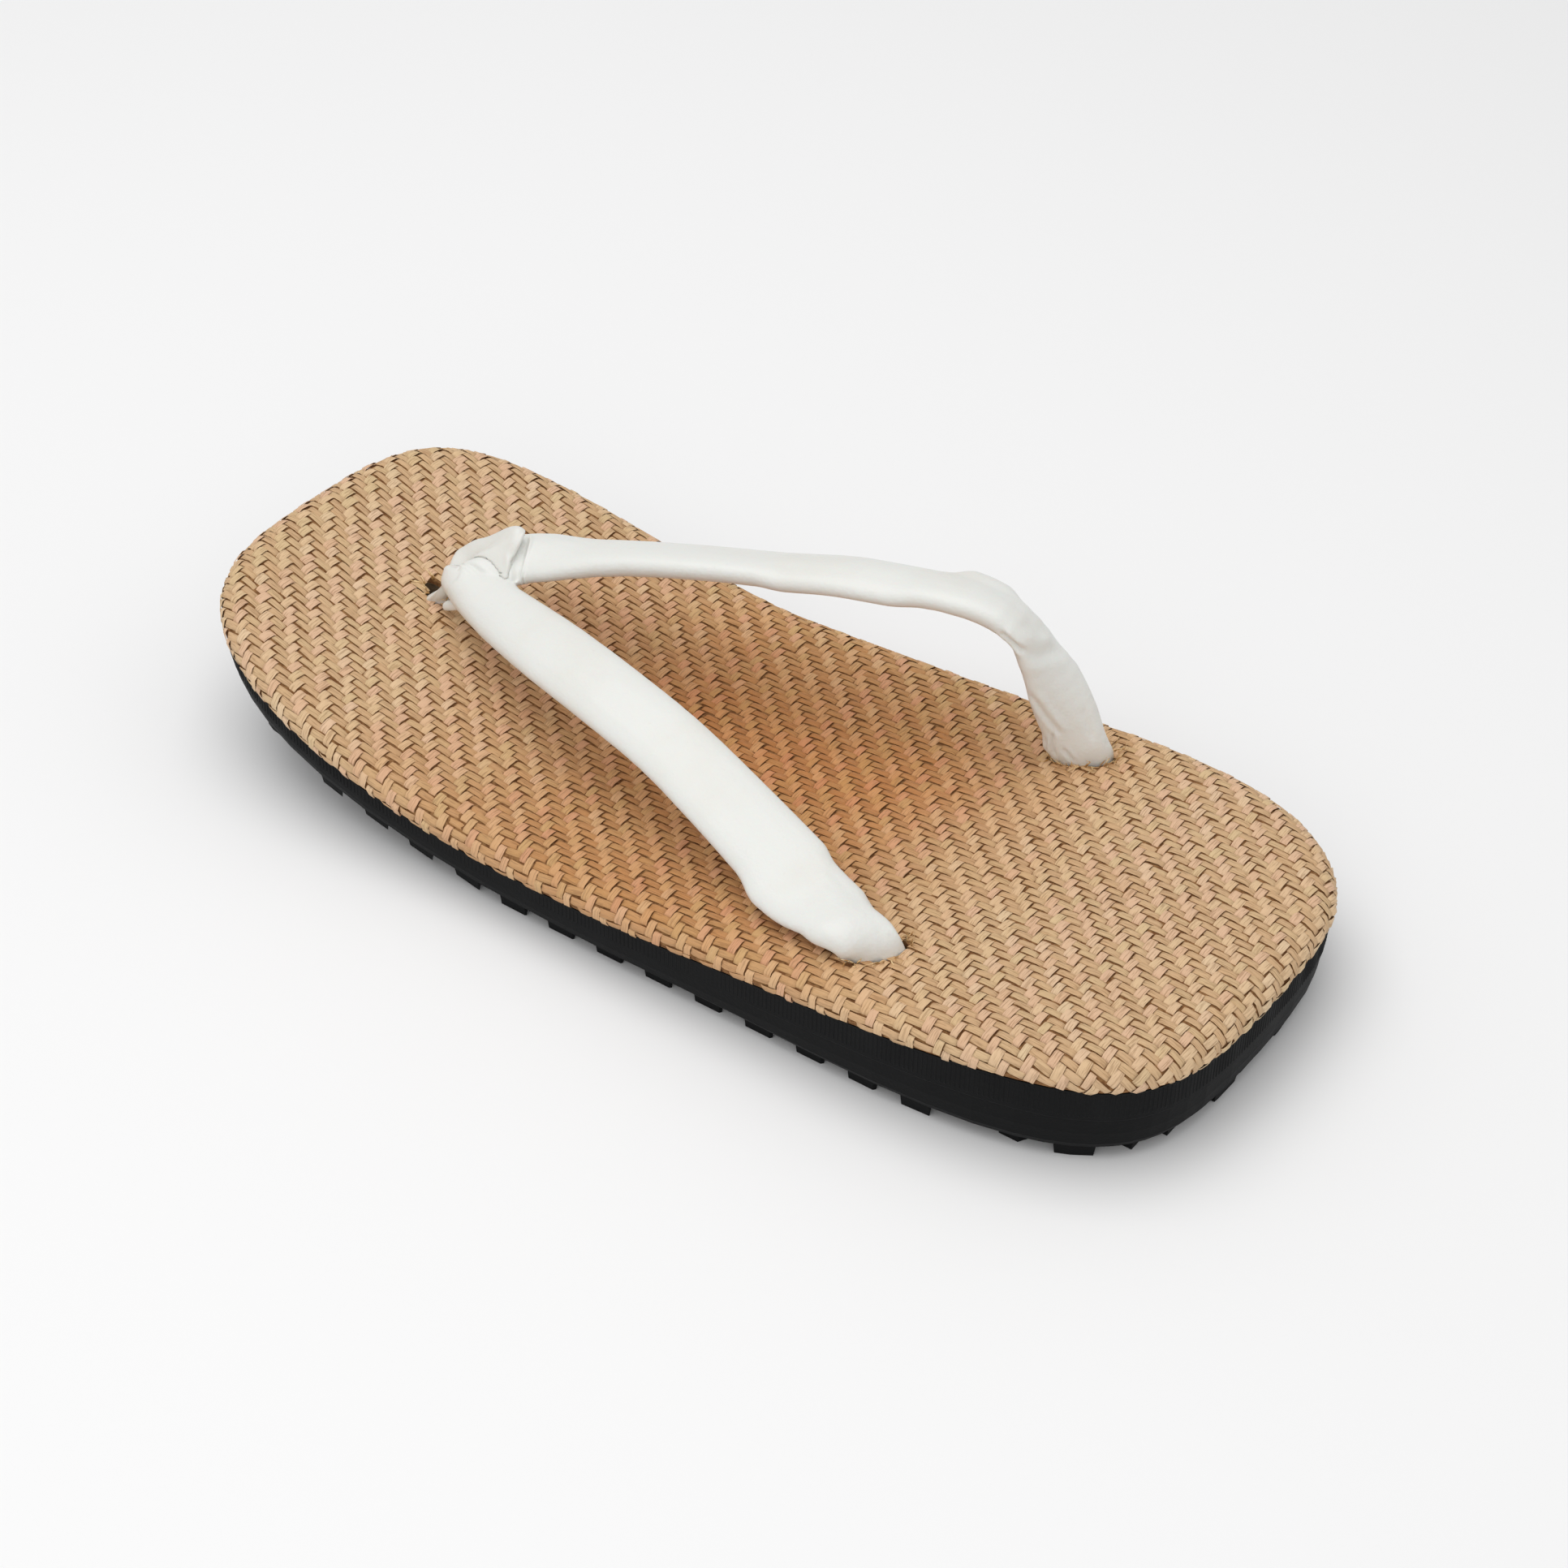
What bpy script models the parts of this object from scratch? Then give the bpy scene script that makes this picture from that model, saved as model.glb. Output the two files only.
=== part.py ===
"""A flat thong sandal: studded rubber sole, board, woven mat cover, padded V strap and toe loop.

Metres, +Z up. The toe points to -Y, the heel to +Y, and the floor is the plane z = 0.
"""
from collections import namedtuple
from math import atan2, cos, pi, radians, sin, sqrt

import bmesh
import bpy
from mathutils import Vector
from mathutils.geometry import delaunay_2d_cdt

# Outline of the sandal, seen from above
LENGTH = 0.260
WIDTH = 0.1155
SQUARENESS = 4.1
TOE_SLIMNESS = 0.012
CORNER_FULLNESS = 0.017

# Side view
TOE_SPRING = 0.0221
ROLL_START = 0.40
ROLL_POWER = 1.6
HEEL_THICKNESS = 0.0200
BOARD_THICKNESS = 0.0045
COVER_WALL = 0.0014
GAP = 0.0003

# Edges
COVER_OVERHANG = 0.0008
EDGE_ROUND = 0.0052
SIDE_TAPER = 0.0021

# Tread
TREAD_DEPTH = 0.0032
STUD_PITCH = 0.0131
STUD_LENGTH = 0.0100
STUD_WIDTH = 0.0088
STUD_DRAFT = 0.0004
TREAD_MARGIN = 0.0004
MEDALLION_RADIUS = 0.0193
MEDALLION_Y = 0.1115 * LENGTH
MEDALLION_MOAT = 0.0012

# Strap
STRAP_WIDTH = 0.0195
STRAP_THICKNESS = 0.0062
NEAR_ARCH = 0.0212
FAR_ARCH = 0.0375
STRAP_FRONT_Y = -0.3404 * LENGTH
SIDE_HOLE_X = 0.3550 * WIDTH
SIDE_HOLE_Y = 0.2238 * LENGTH
SIDE_HOLE_LENGTH = 0.0146
SIDE_HOLE_WIDTH = 0.0078
TOE_HOLE_X = 0.0015
TOE_HOLE_Y = -0.3538 * LENGTH
TOE_HOLE_LENGTH = 0.0100
TOE_HOLE_WIDTH = 0.0066
BOARD_HOLE_ROOM = 0.0010
LOOP_WIDTH = 2 / 3 * STRAP_WIDTH
LOOP_THICKNESS = 0.0030
LOOP_LENGTH = 0.0962 * LENGTH

# Fineness of the meshes
STATIONS = 36
SECTION_SIDES = 16
ROUND_STEPS = 4
HOLE_SIDES = 16

# Rubber thickness along the sole: share of the length from the toe, share of the heel's thickness
Thickness = namedtuple("Thickness", "along rubber")
RUBBER_PROFILE = (
    Thickness(0.000, 0.62),
    Thickness(0.125, 0.56),
    Thickness(0.250, 0.55),
    Thickness(0.375, 0.58),
    Thickness(0.500, 0.64),
    Thickness(0.625, 0.76),
    Thickness(0.750, 0.91),
    Thickness(0.875, 1.00),
    Thickness(1.000, 0.94),
)

# Side wall of the rubber from the deck down: share of the taper, share of the height over the tread
SideLevel = namedtuple("SideLevel", "taper height")
SIDE_PROFILE = (
    SideLevel(0.00, 1.00),
    SideLevel(0.00, 0.56),
    SideLevel(0.22, 0.52),
    SideLevel(0.30, 0.30),
    SideLevel(0.55, 0.10),
    SideLevel(1.00, 0.00),
)

# One strap arm from its front end to its leg in the side hole. Shares: along runs from the strap's front
# to the side hole, out is a share of the hole's distance from the middle, lift of the arm's arch over the
# mat, width and thick of the strap's. Angles in degrees: turn is the plan angle of the band's width,
# lean how far its outer edge hangs down.
ArmRow = namedtuple("ArmRow", "along out lift width thick turn lean")
NEAR_ARM = (
    ArmRow(0.000, 0.070, 0.47, 0.20, 0.50, -35, 20),
    ArmRow(0.012, 0.078, 0.47, 0.42, 1.05, -33, 22),
    ArmRow(0.040, 0.105, 0.48, 0.56, 1.22, -28, 25),
    ArmRow(0.112, 0.19, 0.62, 0.77, 1.10, -24, 24),
    ArmRow(0.245, 0.35, 0.86, 0.93, 1.00, -20, 22),
    ArmRow(0.425, 0.54, 1.00, 0.97, 1.00, -18, 20),
    ArmRow(0.565, 0.66, 0.90, 0.98, 1.00, -16, 18),
    ArmRow(0.700, 0.78, 0.65, 1.02, 1.00, -15, 17),
    ArmRow(0.815, 0.88, 0.39, 1.04, 0.94, -17, 18),
    ArmRow(0.880, 0.940, 0.290, 0.99, 0.90, -22, 15),
    ArmRow(0.930, 0.975, 0.265, 0.90, 0.92, -29, 6),
    ArmRow(0.968, 0.992, 0.225, 0.80, 0.98, -37, -8),
    ArmRow(0.993, 1.000, 0.115, 0.73, 1.10, -43, -12),
)
FAR_ARM = (
    ArmRow(0.030, -0.098, 0.293, 0.20, 0.65, -50, 10),
    ArmRow(0.036, -0.073, 0.301, 0.41, 1.05, -50, 4),
    ArmRow(0.046, -0.012, 0.336, 0.50, 1.13, -45, -4),
    ArmRow(0.062, 0.055, 0.395, 0.60, 1.05, -38, -12),
    ArmRow(0.084, 0.115, 0.450, 0.76, 0.95, -30, -19),
    ArmRow(0.112, 0.162, 0.510, 0.83, 0.95, -24, -18),
    ArmRow(0.235, 0.330, 0.722, 0.87, 1.05, -18, 8),
    ArmRow(0.390, 0.490, 0.895, 0.94, 1.05, -16, 16),
    ArmRow(0.540, 0.640, 0.965, 0.97, 1.05, -15, 15),
    ArmRow(0.695, 0.765, 1.000, 1.00, 1.05, -14, 14),
    ArmRow(0.820, 0.855, 0.985, 0.98, 1.08, -10, 18),
    ArmRow(0.882, 0.895, 0.890, 0.90, 1.15, 4, 26),
    ArmRow(0.922, 0.920, 0.690, 0.82, 1.20, 24, 30),
    ArmRow(0.957, 0.945, 0.430, 0.82, 1.15, 42, 24),
    ArmRow(0.985, 0.975, 0.190, 0.80, 1.10, 52, 12),
    ArmRow(0.998, 0.995, 0.060, 0.74, 1.15, 57, 4),
)
NEAR_HOLE_TURN = -45
FAR_HOLE_TURN = 57

# Toe loop from the toe hole over the strap's front and down behind it. Shares: along of the way from the
# hole to the loop's end, out of the side hole's distance, lift of the far arch, width and thick of the loop's.
LoopRow = namedtuple("LoopRow", "along out lift width thick turn lean")
TOE_LOOP = (
    LoopRow(0.06, -0.0285, 0.110, 0.54, 1.50, 0, 4),
    LoopRow(0.13, -0.0713, 0.240, 0.62, 1.45, 6, 12),
    LoopRow(0.22, -0.0809, 0.330, 0.78, 1.40, 14, 24),
    LoopRow(0.33, -0.0880, 0.405, 0.95, 1.40, 22, 34),
    LoopRow(0.46, -0.0927, 0.455, 1.06, 1.40, 28, 38),
    LoopRow(0.60, -0.0999, 0.490, 1.12, 1.45, 32, 38),
    LoopRow(0.72, -0.1070, 0.515, 1.16, 1.50, 34, 36),
)

# Tread, seen from above. Shares: x and edges of half the width, phase of the pitch, length, base and tip
# of the stud's length, width and reach of the stud's width.
StudRow = namedtuple("StudRow", "x phase length width")
STUD_ROWS = (
    StudRow(0.915, 0.92, 0.80, 0.58),
    StudRow(0.771, 0.43, 1.00, 1.00),
    StudRow(0.178, 0.68, 1.00, 1.00),
    StudRow(-0.2545, 0.43, 0.98, 0.98),
    StudRow(-0.793, 0.08, 1.00, 1.00),
    StudRow(-0.935, 0.58, 0.80, 0.58),
)
Rib = namedtuple("Rib", "inner outer teeth_in teeth_out crosses_medallion")
Teeth = namedtuple("Teeth", "phase base tip reach")
RIBS = (
    Rib(0.5645, 0.6407, None, Teeth(0.92, 0.48, 0.20, 0.28), False),
    Rib(0.3880, 0.5056, Teeth(0.17, 0.56, 0.34, 0.62), None, False),
    Rib(-0.0650, 0.0650, Teeth(0.93, 0.62, 0.36, 0.36), Teeth(0.18, 0.52, 0.26, 0.30), True),
    Rib(-0.6182, -0.5836, Teeth(0.58, 0.74, 0.46, 0.52), Teeth(0.74, 1.00, 0.84, 1.28), False),
)


class Body:
    """Points and faces of one closed body, gathered before they become a mesh."""

    def __init__(self):
        self.points = []
        self.faces = []

    def add_points(self, points):
        start = len(self.points)
        self.points.extend(points)
        return list(range(start, len(self.points)))

    def join_rings(self, lower, upper):
        count = len(lower)
        for i in range(count):
            j = (i + 1) % count
            self.faces.append((lower[i], lower[j], upper[j], upper[i]))

    def finish(self, name, material):
        mesh = bpy.data.meshes.new(name)
        mesh.from_pydata(self.points, [], self.faces)
        bm = bmesh.new()
        bm.from_mesh(mesh)
        bmesh.ops.recalc_face_normals(bm, faces=bm.faces)
        bm.to_mesh(mesh)
        bm.free()
        mesh.shade_smooth()
        mesh.set_sharp_from_angle(angle=radians(40))
        mesh.materials.append(material)
        obj = bpy.data.objects.new(name, mesh)
        bpy.context.collection.objects.link(obj)
        return obj


def make_material(name, colour, roughness):
    material = bpy.data.materials.new(name)
    material.use_nodes = True
    shader = material.node_tree.nodes["Principled BSDF"]
    shader.inputs["Base Color"].default_value = (*colour, 1.0)
    shader.inputs["Roughness"].default_value = roughness
    shader.inputs["Metallic"].default_value = 0.0
    return material


def clamp(value, low, high):
    return max(low, min(high, value))


def smooth_steps(knots, rows, count):
    """Rows of numbers on a smooth curve through the given rows, count steps between each two."""
    slopes = []
    last = len(rows) - 1
    for i in range(len(rows)):
        a, b = max(i - 1, 0), min(i + 1, last)
        if a == i or b == i:
            slopes.append([(q - p) / (knots[b] - knots[a]) for p, q in zip(rows[a], rows[b])])
            continue
        before, after = knots[i] - knots[a], knots[b] - knots[i]
        slopes.append([
            ((m - p) / before * after + (q - m) / after * before) / (before + after)
            for p, m, q in zip(rows[a], rows[i], rows[b])
        ])
    result = []
    for i in range(last):
        span = knots[i + 1] - knots[i]
        for step in range(count):
            t = step / count
            h00, h10 = 2 * t**3 - 3 * t**2 + 1, (t**3 - 2 * t**2 + t) * span
            h01, h11 = 3 * t**2 - 2 * t**3, (t**3 - t**2) * span
            result.append([
                h00 * p + h10 * mp + h01 * q + h11 * mq
                for p, q, mp, mq in zip(rows[i], rows[i + 1], slopes[i], slopes[i + 1])
            ])
    result.append(list(rows[-1]))
    return result


def share_along(y):
    return clamp(y / LENGTH + 0.5, 0.0, 1.0)


def underside(y):
    """Height of the studs' tips over the floor: flat from the ball of the foot back, rolled up at the toe."""
    lift = clamp((ROLL_START - share_along(y)) / ROLL_START, 0.0, 1.0)
    return TOE_SPRING * lift**ROLL_POWER


THICKNESS_CURVE = smooth_steps([row.along for row in RUBBER_PROFILE], RUBBER_PROFILE, 8)


def deck(y):
    """Height of the rubber's top face."""
    along = share_along(y)
    for low, high in zip(THICKNESS_CURVE, THICKNESS_CURVE[1:]):
        if along <= high[0]:
            t = (along - low[0]) / (high[0] - low[0])
            return underside(y) + HEEL_THICKNESS * (low[1] + (high[1] - low[1]) * t)
    return underside(y) + HEEL_THICKNESS * THICKNESS_CURVE[-1][1]


def board_bottom(y):
    return deck(y) + GAP


def board_top(y):
    return board_bottom(y) + BOARD_THICKNESS


def cover_bottom(y):
    return board_top(y) + GAP


def cover_top(y):
    return cover_bottom(y) + COVER_WALL


def outline_point(angle):
    """Point of the outline before it is brought to length and width. The angle is 0 at the toe."""
    power = SQUARENESS
    x, y = sin(angle) / WIDTH, cos(angle) / LENGTH
    radius = (abs(x)**power + abs(y)**power)**(-1 / power) / 2
    radius *= 1 - TOE_SLIMNESS * cos(angle) + 2 * CORNER_FULLNESS * cos(2 * angle)
    radius *= 1 + CORNER_FULLNESS * cos(4 * angle)
    return radius * sin(angle), -radius * cos(angle)


def make_outline():
    """Points and inward normals of the right half from toe to heel, closer together round the corners."""
    fine = [outline_point(pi * i / 900) for i in range(901)]
    widest = max(x for x, y in fine)
    front, back = fine[0][1], fine[-1][1]
    fine = [
        (x * WIDTH / 2 / widest, (y - (front + back) / 2) * LENGTH / (back - front))
        for x, y in fine
    ]
    headings = [atan2(q[1] - p[1], q[0] - p[0]) for p, q in zip(fine, fine[1:])]
    spent = [0.0]
    for i in range(1, len(fine)):
        step = sqrt((fine[i][0] - fine[i - 1][0])**2 + (fine[i][1] - fine[i - 1][1])**2)
        turn = abs(headings[min(i, 899)] - headings[i - 1])
        spent.append(spent[-1] + step / LENGTH + turn * 0.45)
    picked = []
    index = 0
    for k in range(STATIONS + 1):
        target = spent[-1] * k / STATIONS
        while index < len(fine) - 1 and spent[index] < target - 1e-12:
            index += 1
        heading = headings[min(max(index, 1), 899)]
        normal = (-sin(heading), cos(heading))
        if k == 0:
            normal = (0.0, 1.0)
        if k == STATIONS:
            normal = (0.0, -1.0)
        picked.append((fine[index][0], fine[index][1], normal[0], normal[1]))
    return picked


OUTLINE = make_outline()


def ring_flat(inset):
    """The whole outline moved inwards, as plan points: right side from toe to heel, then the left side."""
    right = [(x + inset * nx, y + inset * ny) for x, y, nx, ny in OUTLINE]
    return right + [(-x, y) for x, y in reversed(right[1:-1])]


def ring(inset, height):
    return [(x, y, height(y)) for x, y in ring_flat(inset)]


def oval(centre, length, width, turn, sides=HOLE_SIDES, power=2.3):
    """Plan points of a rounded hole whose length lies at the given plan angle."""
    points = []
    for i in range(sides):
        angle = 2 * pi * i / sides
        u = abs(cos(angle))**(2 / power) * (1 if cos(angle) >= 0 else -1) * length / 2
        v = abs(sin(angle))**(2 / power) * (1 if sin(angle) >= 0 else -1) * width / 2
        points.append((
            centre[0] + u * cos(turn) - v * sin(turn),
            centre[1] + u * sin(turn) + v * cos(turn),
        ))
    return points


def strap_holes(room):
    """The toe hole and both side holes, each wider all round by the given room, as plan loops."""
    near_turn = radians(NEAR_HOLE_TURN)
    far_turn = pi - radians(FAR_HOLE_TURN)
    toe_size = (TOE_HOLE_LENGTH + 2 * room, TOE_HOLE_WIDTH + 2 * room)
    side_size = (SIDE_HOLE_LENGTH + 2 * room, SIDE_HOLE_WIDTH + 2 * room)
    return (
        oval((TOE_HOLE_X, TOE_HOLE_Y), *toe_size, pi / 2),
        oval((SIDE_HOLE_X, SIDE_HOLE_Y), *side_size, near_turn),
        oval((-SIDE_HOLE_X, SIDE_HOLE_Y), *side_size, far_turn),
    )


def triangulate(outer, loops, cross_lines):
    """Plan triangles inside the outer loop, each with the number of the inner loop it lies in, or 0."""
    coords = [Vector(p) for p in outer]
    faces = [list(range(len(outer)))]
    for loop in loops:
        start = len(coords)
        coords.extend(Vector(p) for p in loop)
        faces.append(list(range(start, len(coords))))
    edges = []
    if cross_lines:
        count = len(outer)
        edges = [(k, count - k) for k in range(1, count // 2)]
    found, _, triangles, sources, _, owners = delaunay_2d_cdt(coords, edges, faces, 0, 1e-7, True)
    names = {}
    for i, source in enumerate(sources):
        for s in source:
            names[s] = i
    inside = [max(owner) for owner in owners if owner]
    triangles = [triangle for triangle, owner in zip(triangles, owners) if owner]
    return [(p.x, p.y) for p in found], triangles, inside, names


def make_plate(inset, hole_room):
    """Plan triangles of the flat middle inside an edge, with the strap's holes left open."""
    outer = ring_flat(inset)
    points, triangles, inside, names = triangulate(outer, strap_holes(hole_room), True)
    kept = [t for t, owner in zip(triangles, inside) if owner == 0]
    rim = [names[i] for i in range(len(outer))]
    uses = {}
    for t in kept:
        for a, b in zip(t, (*t[1:], t[0])):
            key = (min(a, b), max(a, b))
            uses[key] = uses.get(key, 0) + 1
    on_rim = {(min(a, b), max(a, b)) for a, b in zip(rim, (*rim[1:], rim[0]))}
    hole_edges = [key for key, count in uses.items() if count == 1 and key not in on_rim]
    used = sorted({i for t in kept for i in t})
    return points, kept, rim, hole_edges, used


def add_plate(body, plate, height):
    """Put a plate into a body at a height that follows the length. Returns its points' numbers."""
    points, kept, rim, hole_edges, used = plate
    numbers = {}
    for i in used:
        x, y = points[i]
        numbers[i] = body.add_points([(x, y, height(y))])[0]
    for t in kept:
        body.faces.append(tuple(numbers[i] for i in t))
    return numbers


def join_hole_walls(body, plate, upper, lower):
    for a, b in plate[3]:
        body.faces.append((upper[a], upper[b], lower[b], lower[a]))


def edge_rings(radius, height, drop, top, count=ROUND_STEPS):
    """Rings of a rolled edge from the flat top down to its widest line: insets and heights."""
    rings = []
    for i in range(1, count + 1):
        angle = pi / 2 * i / count
        inset = radius * (1 - sin(angle))
        fall = drop * (1 - cos(angle))
        rings.append((inset, lambda y, fall=fall: top(y) - fall))
    return rings


def make_board(material):
    body = Body()
    inset = EDGE_ROUND + COVER_WALL + GAP
    plate = make_plate(inset, BOARD_HOLE_ROOM)
    upper = add_plate(body, plate, board_top)
    lower = add_plate(body, plate, board_bottom)
    join_hole_walls(body, plate, upper, lower)
    rim = plate[2]
    outer = COVER_WALL + GAP
    radius = EDGE_ROUND
    fall = BOARD_THICKNESS * 0.75
    last = [upper[i] for i in rim]
    for step_in, height in edge_rings(radius, board_top, fall, board_top):
        current = body.add_points(ring(outer + step_in, height))
        body.join_rings(last, current)
        last = current
    current = body.add_points(ring(outer + GAP, board_bottom))
    body.join_rings(last, current)
    body.join_rings(current, [lower[i] for i in rim])
    return body.finish("insole_board", material)


def make_cover(material):
    """The mat: one wall over the board and down round its edge to the rubber, open beneath."""
    body = Body()
    inset = EDGE_ROUND + COVER_WALL + GAP
    plate = make_plate(inset, 0.0)
    upper = add_plate(body, plate, cover_top)
    lower = add_plate(body, plate, cover_bottom)
    join_hole_walls(body, plate, upper, lower)
    rim = plate[2]
    skirt = BOARD_THICKNESS * 0.75

    def down(start, side, radius, drop, top):
        last = start
        for step_in, height in edge_rings(radius, top, drop, top):
            current = body.add_points(ring(side + step_in, height))
            body.join_rings(last, current)
            last = current
        return last

    outside = down([upper[i] for i in rim], 0.0, inset, skirt + COVER_WALL, cover_top)
    inside = down([lower[i] for i in rim], COVER_WALL, EDGE_ROUND + GAP, skirt, cover_bottom)
    outer_rim = body.add_points(ring(COVER_OVERHANG, board_bottom))
    inner_rim = body.add_points(ring(COVER_WALL, board_bottom))
    body.join_rings(outside, outer_rim)
    body.join_rings(inside, inner_rim)
    body.join_rings(outer_rim, inner_rim)
    return body.finish("mat_cover", material)


def shrink(points, distance):
    """The loop with each edge moved towards its inside."""
    area = sum(p[0] * q[1] - q[0] * p[1] for p, q in zip(points, (*points[1:], points[0])))
    side = 1 if area > 0 else -1
    result = []
    for before, here, after in zip((points[-1], *points[:-1]), points, (*points[1:], points[0])):
        a = Vector(here) - Vector(before)
        b = Vector(after) - Vector(here)
        na = Vector((-a.y, a.x)).normalized() * side
        nb = Vector((-b.y, b.x)).normalized() * side
        middle = na + nb
        middle *= distance / max(middle.dot(na), 0.5)
        result.append((here[0] + middle.x, here[1] + middle.y))
    return result


def clip_inside(points, fence):
    """A convex loop cut back to a convex fence, whose points run with its inside on the left."""
    for p, q in zip(fence, (*fence[1:], fence[0])):
        def depth(point):
            return (q[0] - p[0]) * (point[1] - p[1]) - (q[1] - p[1]) * (point[0] - p[0])
        kept = []
        for a, b in zip(points, (*points[1:], points[0])):
            da, db = depth(a), depth(b)
            if da >= 0:
                kept.append(a)
            if (da >= 0) != (db >= 0):
                t = da / (da - db)
                kept.append((a[0] + (b[0] - a[0]) * t, a[1] + (b[1] - a[1]) * t))
        points = kept
        if len(points) < 3:
            return []
    return points


def loop_area(points):
    return abs(sum(p[0] * q[1] - q[0] * p[1] for p, q in zip(points, (*points[1:], points[0])))) / 2


def drop_short_edges(points, shortest):
    kept = []
    for point in points:
        if not kept or (Vector(point) - Vector(kept[-1])).length > shortest:
            kept.append(point)
    if len(kept) > 1 and (Vector(kept[0]) - Vector(kept[-1])).length <= shortest:
        kept.pop()
    return kept


def places(phase):
    """Positions of one row's studs along the sole."""
    count = int(LENGTH / STUD_PITCH) + 2
    first = (phase - count // 2) * STUD_PITCH
    return [first + i * STUD_PITCH for i in range(count + 1)]


def studs(fence):
    """Hexagonal studs, cut back to the sole's edge and kept out of the medallion's moat."""
    clear = MEDALLION_RADIUS + MEDALLION_MOAT
    centre = Vector((0.0, MEDALLION_Y))
    loops = []
    for row in STUD_ROWS:
        x = row.x * WIDTH / 2
        half_length = row.length * STUD_LENGTH / 2
        half_width = row.width * STUD_WIDTH / 2
        for y in places(row.phase):
            away = (Vector((x, y)) - centre).length
            if away < clear + half_width * 0.45:
                continue
            corners = [
                (x + half_width, y + half_length * 0.5),
                (x, y + half_length),
                (x - half_width, y + half_length * 0.5),
                (x - half_width, y - half_length * 0.5),
                (x, y - half_length),
                (x + half_width, y - half_length * 0.5),
            ]
            pushed = []
            for corner in corners:
                arm = Vector(corner) - centre
                if arm.length < clear:
                    arm = arm.normalized() * clear
                pushed.append(tuple(centre + arm))
            loop = drop_short_edges(clip_inside(pushed, fence), STUD_LENGTH * 0.06)
            if len(loop) >= 3 and loop_area(loop) > STUD_LENGTH * STUD_WIDTH * 0.12:
                loops.append(loop)
    return loops


def reach_along(x, fence):
    """How far the fence runs to toe and heel at a distance from the middle."""
    crossings = []
    for p, q in zip(fence, (*fence[1:], fence[0])):
        if (p[0] - x) * (q[0] - x) < 0:
            crossings.append(p[1] + (q[1] - p[1]) * (x - p[0]) / (q[0] - p[0]))
    return min(crossings), max(crossings)


def rib_loop(rib, low, high, fence):
    """One rib between two places along the sole, with the teeth on its sides."""
    clear = MEDALLION_RADIUS + MEDALLION_MOAT
    inner, outer = rib.inner * WIDTH / 2, rib.outer * WIDTH / 2

    def side(x, teeth, direction):
        points = []
        if teeth is None:
            return [(x, y) for y in places(0.5) if low + STUD_PITCH / 2 < y < high - STUD_PITCH / 2]
        tip_x = x + direction * teeth.reach * STUD_WIDTH
        tip_low, tip_high = reach_along(tip_x, fence)
        for y in places(teeth.phase):
            base, tip = teeth.base * STUD_LENGTH / 2, teeth.tip * STUD_LENGTH / 2
            if y - base < max(low, tip_low) + TREAD_MARGIN or y + base > min(high, tip_high) - TREAD_MARGIN:
                continue
            nearest = min(
                (Vector((cx, cy)) - Vector((0.0, MEDALLION_Y))).length
                for cx, cy in ((tip_x, y - tip), (tip_x, y), (tip_x, y + tip))
            )
            if nearest < clear:
                continue
            points += [(x, y - base), (tip_x, y - tip), (tip_x, y + tip), (x, y + base)]
        return points

    right = [(outer, low)] + side(outer, rib.teeth_out, 1) + [(outer, high)]
    left = [(inner, low)] + side(inner, rib.teeth_in, -1) + [(inner, high)]
    return right + left[::-1]


def ribs(fence):
    clear = MEDALLION_RADIUS + MEDALLION_MOAT
    loops = []
    for rib in RIBS:
        farthest = max(abs(rib.inner), abs(rib.outer)) * WIDTH / 2
        low, high = reach_along(farthest, fence)
        low, high = low + TREAD_MARGIN, high - TREAD_MARGIN
        if rib.crosses_medallion:
            edge = sqrt(clear**2 - farthest**2)
            loops.append(rib_loop(rib, low, MEDALLION_Y - edge, fence))
            loops.append(rib_loop(rib, MEDALLION_Y + edge, high, fence))
        else:
            loops.append(rib_loop(rib, low, high, fence))
    return loops


def make_outsole(material):
    body = Body()
    count = 2 * STATIONS
    levels = []
    for level in SIDE_PROFILE:
        inset = COVER_OVERHANG + level.taper * SIDE_TAPER

        def height(y, share=level.height):
            base = underside(y) + TREAD_DEPTH
            return base + share * (deck(y) - base)

        levels.append(body.add_points(ring(inset, height)))
    for upper, lower in zip(levels, levels[1:]):
        body.join_rings(upper, lower)
    top = levels[0]
    for k in range(STATIONS):
        left_a, left_b = top[(count - k) % count], top[count - k - 1]
        corners = [top[k], top[k + 1], left_b, left_a]
        body.faces.append(tuple(dict.fromkeys(corners)))
    outer = ring_flat(COVER_OVERHANG + SIDE_TAPER)
    fence = ring_flat(COVER_OVERHANG + SIDE_TAPER + TREAD_MARGIN)
    medallion = oval((0.0, MEDALLION_Y), 2 * MEDALLION_RADIUS, 2 * MEDALLION_RADIUS, 0.0, 40, 2.0)
    loops = [medallion] + studs(fence) + ribs(fence)
    points, triangles, inside, names = triangulate(outer, loops, False)
    tips = {}
    start = len(outer)
    for number, loop in enumerate(loops, 1):
        for i, (x, y) in enumerate(shrink(loop, STUD_DRAFT)):
            tips[(number, names[start + i])] = body.add_points([(x, y, underside(y))])[0]
        start += len(loop)
    base = {names[i]: levels[-1][i] for i in range(len(outer))}
    for i, (x, y) in enumerate(points):
        if i not in base:
            base[i] = body.add_points([(x, y, underside(y) + TREAD_DEPTH)])[0]
    for t, owner in zip(triangles, inside):
        if owner:
            body.faces.append(tuple(tips[(owner, i)] for i in t))
        else:
            body.faces.append(tuple(base[i] for i in t))
    start = len(outer)
    for number, loop in enumerate(loops, 1):
        corners = [names[start + i] for i in range(len(loop))]
        start += len(loop)
        for a, b in zip(corners, corners[1:] + corners[:1]):
            body.faces.append((base[a], base[b], tips[(number, b)], tips[(number, a)]))
    return body.finish("outsole", material)


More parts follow.
